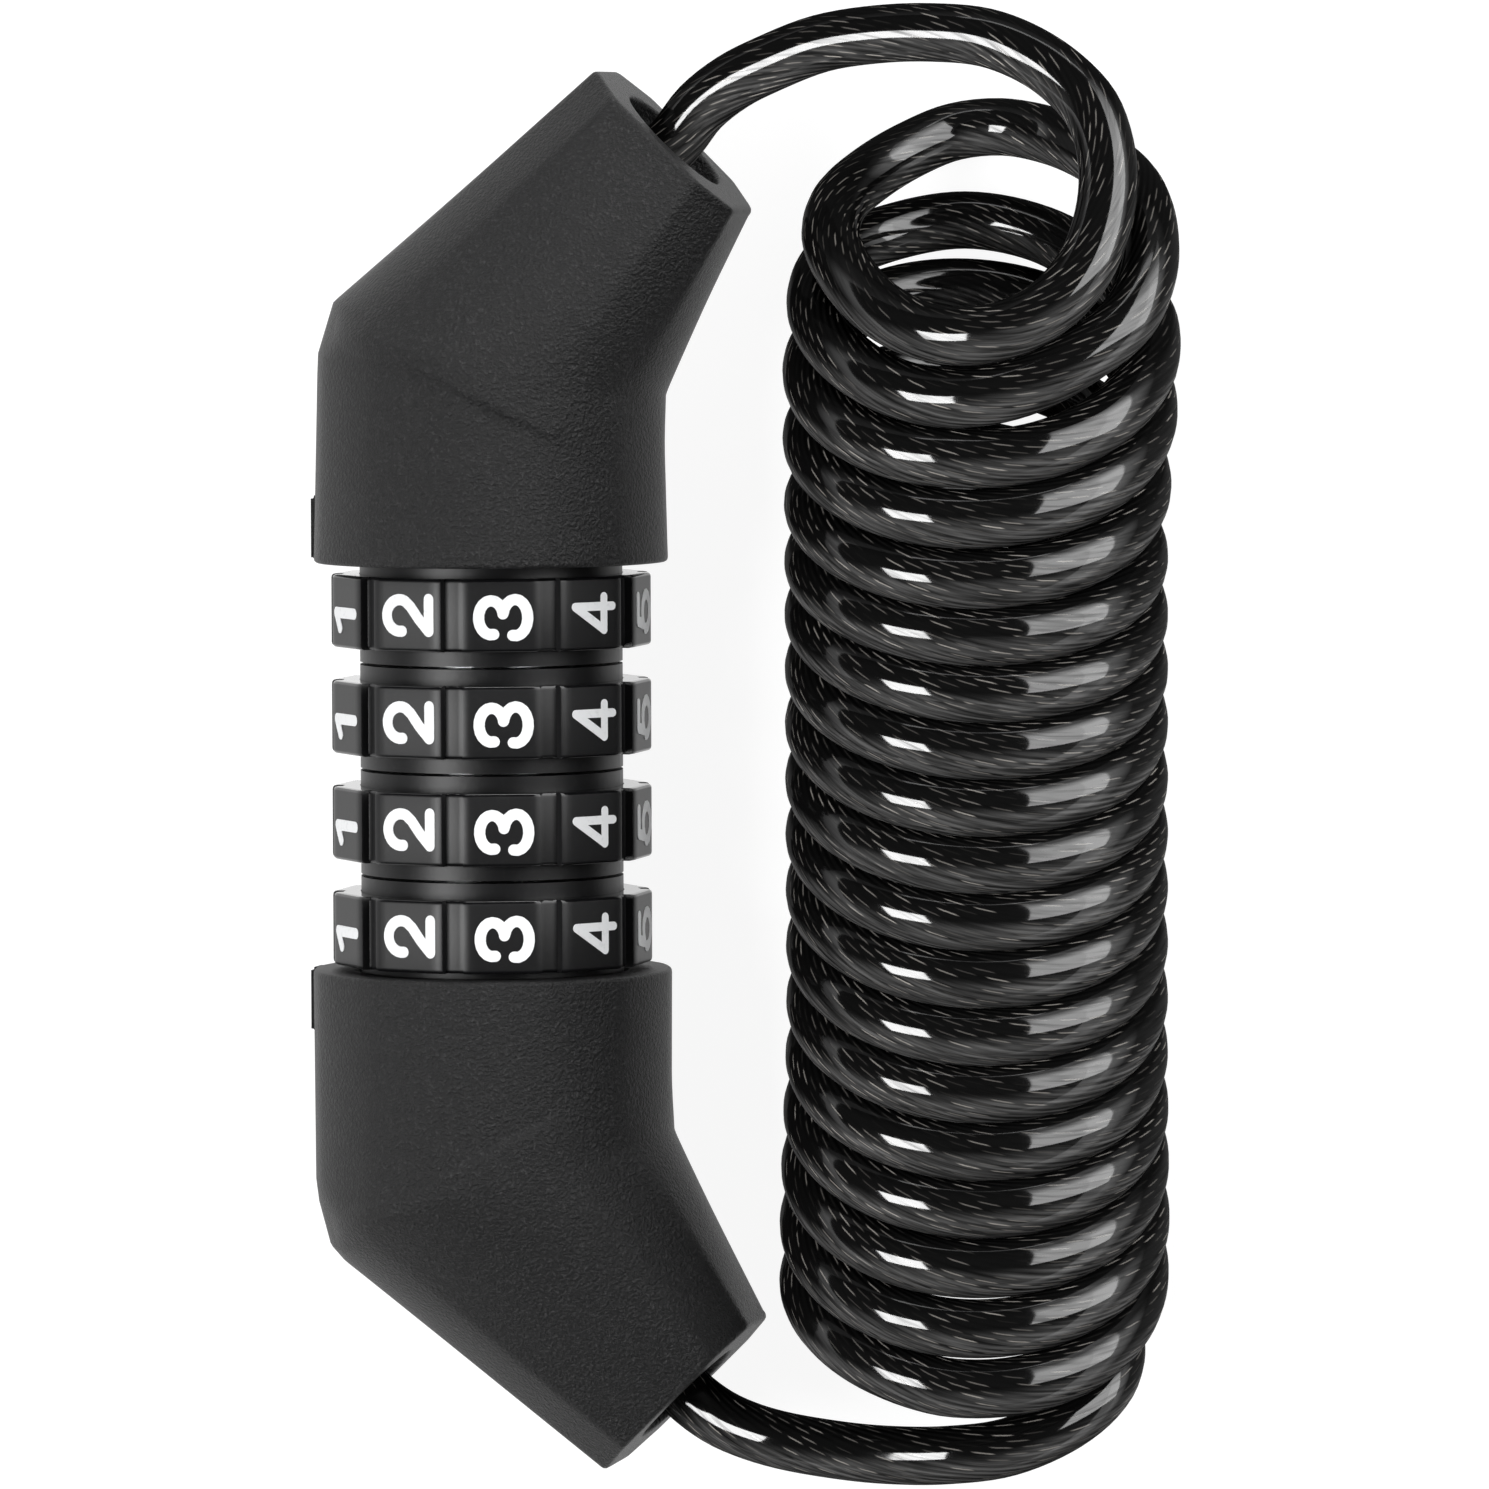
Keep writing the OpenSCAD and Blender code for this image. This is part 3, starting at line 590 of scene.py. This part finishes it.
# (height, how far the outer skin is drawn in there), from one end of the ring to the other
levels = ((-2.5, 0.5), (-2.5, 0.3), (-2.46, 0.12), (-2.36, 0.03), (-2.2, 0.0), (2.2, 0.0), (2.36, 0.03),
          (2.46, 0.12), (2.5, 0.3), (2.5, 0.5))
rows = [[sector.verts.new((bore * math.sin(a), y, bore * math.cos(a))) for a, r in profile]
        for y in (RING_HIGH / 2, -RING_HIGH / 2)]
rows += [[sector.verts.new(((r - cut) * math.sin(a), y, (r - cut) * math.cos(a))) for a, r in profile]
         for y, cut in levels]
rows.append(rows[0])
for lower, upper in zip(rows, rows[1:]):
    for k in range(len(profile) - 1):
        sector.faces.new((lower[k], lower[k + 1], upper[k + 1], upper[k]))
bmesh.ops.recalc_face_normals(sector, faces=sector.faces)
for v in sector.verts:
    v.co /= 1000
sector_mesh = bpy.data.meshes.new("panel_sector")
sector.to_mesh(sector_mesh)
sector.free()
sector_part = bpy.data.objects.new("panel_sector", sector_mesh)
scene.collection.objects.link(sector_part)

wheel, wheel_in, wheel_out = node_group("number_ring", "GeometryNodeTree", [
    ("Panel", "NodeSocketGeometry"), ("Panels", "NodeSocketInt", 10), ("Height", "NodeSocketFloat", 0.0),
    ("Axis X", "NodeSocketFloat", 0.0), ("Axis Z", "NodeSocketFloat", 0.0),
    ("Plastic", "NodeSocketMaterial")],
    [("Ring", "NodeSocketGeometry")])
gn, link = wheel.nodes.new, wheel.links.new
seats = gn("GeometryNodeMeshLine")
seats.mode = "OFFSET"
link(wheel_in.outputs["Panels"], seats.inputs["Count"])
seats.inputs["Offset"].default_value = (0, 0, 0)
number = gn("GeometryNodeInputIndex")
turn_each = maths(wheel, "DIVIDE", 2 * math.pi, wheel_in.outputs["Panels"])
turned_by = maths(wheel, "MULTIPLY", number.outputs[0], turn_each)
about = gn("ShaderNodeCombineXYZ")
link(maths(wheel, "ADD", turned_by, math.radians(17)), about.inputs["Y"])
copies = gn("GeometryNodeInstanceOnPoints")
link(seats.outputs["Mesh"], copies.inputs["Points"])
link(wheel_in.outputs["Panel"], copies.inputs["Instance"])
link(about.outputs[0], copies.inputs["Rotation"])
whole = gn("GeometryNodeRealizeInstances")
link(copies.outputs["Instances"], whole.inputs["Geometry"])
weld = gn("GeometryNodeMergeByDistance")
weld.inputs["Distance"].default_value = 0.00001
link(whole.outputs["Geometry"], weld.inputs["Geometry"])
lift = gn("ShaderNodeCombineXYZ")
link(wheel_in.outputs["Axis X"], lift.inputs["X"])
link(wheel_in.outputs["Height"], lift.inputs["Y"])
link(wheel_in.outputs["Axis Z"], lift.inputs["Z"])
seat = gn("GeometryNodeTransform")
link(weld.outputs["Geometry"], seat.inputs["Geometry"])
link(lift.outputs[0], seat.inputs["Translation"])
dress = gn("GeometryNodeSetMaterial")
link(seat.outputs["Geometry"], dress.inputs["Geometry"])
link(wheel_in.outputs["Plastic"], dress.inputs["Material"])
link(dress.outputs["Geometry"], wheel_out.inputs["Ring"])
for k in range(4):
    mesh = grown(sector_part, wheel, **{
        "Panels": 10, "Height": ((1.5 - k) * PITCH + BARREL_AXIS.y) / 1000, "Axis X": BARREL_AXIS.x / 1000,
        "Axis Z": BARREL_AXIS.z / 1000, "Plastic": dial_plastic})
    mesh.set_sharp_from_angle(angle=math.radians(32))
    ring = bpy.data.objects.new(f"number_ring_{k + 1}", mesh)
    scene.collection.objects.link(ring)
    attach(ring, f"number_dial_{k + 1}")
    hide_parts(f"dial_{k + 1}")
bpy.data.objects.remove(sector_part)

# --------------------------------------------------------------------------------------------------
# Digits
# Plain rounded figures, pad-printed in thick white ink on every panel and read from the tab's side.
# Each is drawn as strokes of one width, merged into a thin plate of ink.
INK_WIDE, FOUR_WIDE, FIGURE_SCALE = 0.80, 0.62, 0.95
INK_UNDER, INK_TOP = 10.74, 10.80  # mm from the barrel's axis
ZERO_AT, DIGIT_TURN = -90.3, 36  # degrees round the barrel, from the top towards the cable
FIGURE_MIDDLE = (1.62, 2.18)  # of the strokes below, which is put on the middle of a panel


def bow(cx, cy, rx, ry, first, last, count=14):
    """Points on an ellipse's arc, angles in degrees."""
    return [(cx + rx * math.cos(math.radians(first + (last - first) * k / count)),
             cy + ry * math.sin(math.radians(first + (last - first) * k / count))) for k in range(count + 1)]


STROKES = {
    0: [bow(1.62, 2.17, 1.2, 1.76, 0, 360, 32)],
    1: [[(1.55, 0.41), (1.55, 3.94), (0.45, 3.25)]],
    2: [bow(1.6, 2.86, 1.14, 1.08, 190, -25) + [(2.25, 1.95), (1.35, 1.25), (0.62, 0.55), (0.5, 0.44)],
        [(0.5, 0.42), (2.8, 0.42)]],
    3: [bow(1.5, 3.04, 1.22, 0.9, 192, -75), bow(1.5, 1.31, 1.3, 0.9, 78, -192)],
    4: [[(2.15, 0.41), (2.15, 3.9), (0.5, 1.25)], [(0.45, 1.2), (2.84, 1.2)]],
    5: [[(2.6, 3.94), (0.85, 3.94), (0.62, 2.3)] + bow(1.5, 1.52, 1.26, 1.1, 130, -195)],
    6: [bow(1.6, 1.46, 1.14, 1.05, 0, 360, 28), [(0.48, 1.6), (0.75, 2.6), (1.35, 3.45), (2.2, 3.94)]],
    7: [[(0.45, 3.94), (2.8, 3.94), (1.95, 2.3), (1.35, 0.41)]],
    8: [bow(1.62, 3.1, 0.95, 0.84, 0, 360, 24), bow(1.62, 1.42, 1.18, 1.0, 0, 360, 28)],
    9: [bow(1.64, 2.89, 1.14, 1.05, 0, 360, 28), [(2.76, 2.75), (2.5, 1.75), (1.9, 0.9), (1.05, 0.41)]]}


def figure(strokes, wide):
    """Flat points and triangles of a figure whose strokes are this wide and have round ends."""
    points, outlines = [], []
    for stroke in strokes:
        for (ax, ay), (bx, by) in zip(stroke, stroke[1:]):
            heading = math.atan2(by - ay, bx - ax)
            outline = []
            for cx, cy, start in ((bx, by, heading - math.pi / 2), (ax, ay, heading + math.pi / 2)):
                for k in range(9):
                    turn = start + math.pi * k / 8
                    outline.append(len(points))
                    points.append(Vector((cx + wide / 2 * math.cos(turn), cy + wide / 2 * math.sin(turn))))
            outlines.append(outline)
    flat_points, _, faces, _, _, covered_by = delaunay_2d_cdt(points, [], outlines, 1, 1e-5)
    return flat_points, [f for f, strokes_here in zip(faces, covered_by) if strokes_here]


ink = bpy.data.materials.new("white dial ink")
ink.use_nodes = True
face = ink.node_tree.nodes["Principled BSDF"]
mottle = ink.node_tree.nodes.new("ShaderNodeGroup")
mottle.node_tree = grain
mottle.inputs["Grain size"].default_value = 0.0004
mottle.inputs["Depth"].default_value = 0.000006
tint = mixed(ink.node_tree, mottle.outputs["Speckle"], (0.86, 0.87, 0.88), (0.72, 0.73, 0.74))
ink.node_tree.links.new(tint, face.inputs["Base Color"])
ink.node_tree.links.new(mottle.outputs["Normal"], face.inputs["Normal"])
face.inputs["Roughness"].default_value = 0.42
figures = {digit: figure(strokes, FOUR_WIDE if digit == 4 else INK_WIDE)
           for digit, strokes in STROKES.items()}
for k in range(4):
    plates = bmesh.new()
    for digit, (flat_points, faces) in figures.items():
        turn = math.radians(ZERO_AT + DIGIT_TURN * digit)
        out = Vector((math.sin(turn), 0, math.cos(turn)))
        top = Vector((-math.cos(turn), 0, math.sin(turn)))
        base = BARREL_AXIS + Vector((0, (1.5 - k) * PITCH, 0))
        spots = [base + Vector((0, (p.x - FIGURE_MIDDLE[0]) * FIGURE_SCALE, 0))
                 + top * ((p.y - FIGURE_MIDDLE[1]) * FIGURE_SCALE) for p in flat_points]
        lower = [plates.verts.new((spot + out * INK_UNDER) / 1000) for spot in spots]
        upper = [plates.verts.new((spot + out * INK_TOP) / 1000) for spot in spots]
        uses = {}
        for f in faces:
            plates.faces.new([upper[i] for i in f])
            plates.faces.new([lower[i] for i in reversed(f)])
            for a, b in zip(f, f[1:] + f[:1]):
                uses[(a, b)] = 1
        for a, b in uses:
            if (b, a) not in uses:
                plates.faces.new((lower[a], lower[b], upper[b], upper[a]))
    bmesh.ops.recalc_face_normals(plates, faces=plates.faces)
    mesh = bpy.data.meshes.new(f"digits_{k + 1}")
    plates.to_mesh(mesh)
    plates.free()
    mesh.materials.append(ink)
    digits = bpy.data.objects.new(f"digits_{k + 1}", mesh)
    scene.collection.objects.link(digits)
    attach(digits, f"number_dial_{k + 1}")

# --------------------------------------------------------------------------------------------------
# Code rings, cores, pins and fittings
# The shoulders between the dials are moulded like them. Inside are a cast zinc core in each housing, a turned
# steel tube and toothed pin, crimped aluminium ferrules and soft rubber glands.
shoulder_plastic = moulded("smooth black shoulder plastic", dark=(0.005, 0.005, 0.0055),
                           light=(0.012, 0.012, 0.0125), roughness=0.42, grain_size=0.0005, depth=0.00001,
                           gloss=0.3)
gland_rubber = moulded("soft black rubber", dark=(0.012, 0.012, 0.012), light=(0.03, 0.03, 0.03),
                       roughness=0.7, grain_size=0.0003, depth=0.00003, gloss=0.3)


def metal(name, colour, roughness, scratch, stretch):
    """Bare metal with a tool's or mould's own marks, stretched along the barrel or round it."""
    made = bpy.data.materials.new(name)
    made.use_nodes = True
    tree = made.node_tree
    face = tree.nodes["Principled BSDF"]
    spot = tree.nodes.new("ShaderNodeTexCoord")
    scale = tree.nodes.new("ShaderNodeMapping")
    scale.inputs["Scale"].default_value = stretch
    tree.links.new(spot.outputs["Object"], scale.inputs["Vector"])
    marks = tree.nodes.new("ShaderNodeTexNoise")
    marks.inputs["Scale"].default_value = 900.0
    marks.inputs["Detail"].default_value = 4.0
    tree.links.new(scale.outputs["Vector"], marks.inputs["Vector"])
    darker = tuple(c * 0.78 for c in colour)
    tree.links.new(mixed(tree, marks.outputs["Fac"], darker, colour), face.inputs["Base Color"])
    relief = tree.nodes.new("ShaderNodeBump")
    relief.inputs["Distance"].default_value = scratch
    tree.links.new(marks.outputs["Fac"], relief.inputs["Height"])
    tree.links.new(relief.outputs["Normal"], face.inputs["Normal"])
    face.inputs["Metallic"].default_value = 1.0
    face.inputs["Roughness"].default_value = roughness
    return made


turned_steel = metal("turned steel", (0.56, 0.57, 0.58), roughness=0.28, scratch=0.000008,
                     stretch=(0.3, 3.0, 0.3))
cast_zinc = metal("cast zinc", (0.44, 0.45, 0.46), roughness=0.48, scratch=0.00004,
                  stretch=(1.0, 1.0, 1.0))
crimped_aluminium = metal("crimped aluminium", (0.72, 0.73, 0.74), roughness=0.35, scratch=0.00002,
                          stretch=(1.0, 0.6, 1.0))
for node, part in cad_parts.items():
    if node.startswith("code_ring"):
        finish = shoulder_plastic
    elif node.endswith("gland"):
        finish = gland_rubber
    elif node.endswith("core"):
        finish = cast_zinc
    elif node.endswith("ferrule"):
        finish = crimped_aluminium
    elif node.endswith("housing"):
        finish = housing_plastic
    elif node.startswith("dial"):
        finish = dial_plastic
    elif node.startswith("cable"):
        finish = jacket
    else:
        finish = turned_steel
    part.data.materials.clear()
    part.data.materials.append(finish)

# --------------------------------------------------------------------------------------------------
# Table and lights
# A plain white sheet under the lock, with low walls of the same paper far round it. A bright soft box stands
# on the left, a wide dim one on the right, and a weak fill comes from the plug's end.
TABLE_HALF, WALL_HIGH = 3, 0.8  # metres
WHITE = 0.92  # how bright the paper shows
sheet_mesh = bpy.data.meshes.new("table")
corners = [(-TABLE_HALF, -TABLE_HALF), (TABLE_HALF, -TABLE_HALF), (TABLE_HALF, TABLE_HALF),
           (-TABLE_HALF, TABLE_HALF)]
sheet_mesh.from_pydata([(x, y, -0.0003) for x, y in corners] + [(x, y, WALL_HIGH) for x, y in corners],
                       [], [(0, 1, 2, 3)] + [(k, k + 4, (k + 1) % 4 + 4, (k + 1) % 4) for k in range(4)])
paper = bpy.data.materials.new("white paper")
paper.use_nodes = True
tree = paper.node_tree
for node in list(tree.nodes):
    if node.type == "BSDF_PRINCIPLED":
        tree.nodes.remove(node)
rays = tree.nodes.new("ShaderNodeLightPath")
seen = maths(tree, "MAXIMUM", rays.outputs["Is Camera Ray"], maths(
    tree, "MAXIMUM", rays.outputs["Is Glossy Ray"], rays.outputs["Is Transmission Ray"]))
matt = tree.nodes.new("ShaderNodeBsdfDiffuse")
matt.inputs["Color"].default_value = (0.20, 0.20, 0.20, 1)
glow = tree.nodes.new("ShaderNodeEmission")
glow.inputs["Color"].default_value = (1, 1, 1, 1)
tree.links.new(maths(tree, "MULTIPLY", seen, WHITE), glow.inputs["Strength"])
both = tree.nodes.new("ShaderNodeAddShader")
tree.links.new(matt.outputs[0], both.inputs[0])
tree.links.new(glow.outputs[0], both.inputs[1])
tree.links.new(both.outputs[0], tree.nodes["Material Output"].inputs["Surface"])
sheet_mesh.materials.append(paper)
table = bpy.data.objects.new("table", sheet_mesh)
scene.collection.objects.link(table)

world = bpy.data.worlds.new("studio")
world.use_nodes = True
scene.world = world
backdrop = world.node_tree.nodes["Background"]
backdrop.inputs["Color"].default_value = (1, 1, 1, 1)
backdrop.inputs["Strength"].default_value = 0.03

for name, turn, out, lift, tilted, wide, high, power in (
        ("left_box", -42, 0.60, -0.05, True, 0.28, 0.27, 3.7),
        ("right_panel", 58, 0.50, 0.54, False, 0.55, 1.12, 9.0),
        ("plug_end_fill", 0, 0.22, 0.77, True, 0.50, 0.06, 1.2)):
    lamp = bpy.data.lights.new(name, "AREA")
    lamp.shape = "RECTANGLE"
    lamp.size, lamp.size_y = wide, high
    lamp.energy = power
    level = back * math.cos(math.radians(turn)) + right * math.sin(math.radians(turn))
    place_from_middle = level * out + up * lift
    aim = place_from_middle.normalized() if tilted else level
    box = bpy.data.objects.new(name, lamp)
    side = up.cross(aim).normalized()
    facing = Matrix((side, aim.cross(side), aim)).transposed().to_4x4()
    box.matrix_world = Matrix.Translation(middle + place_from_middle) @ facing
    scene.collection.objects.link(box)
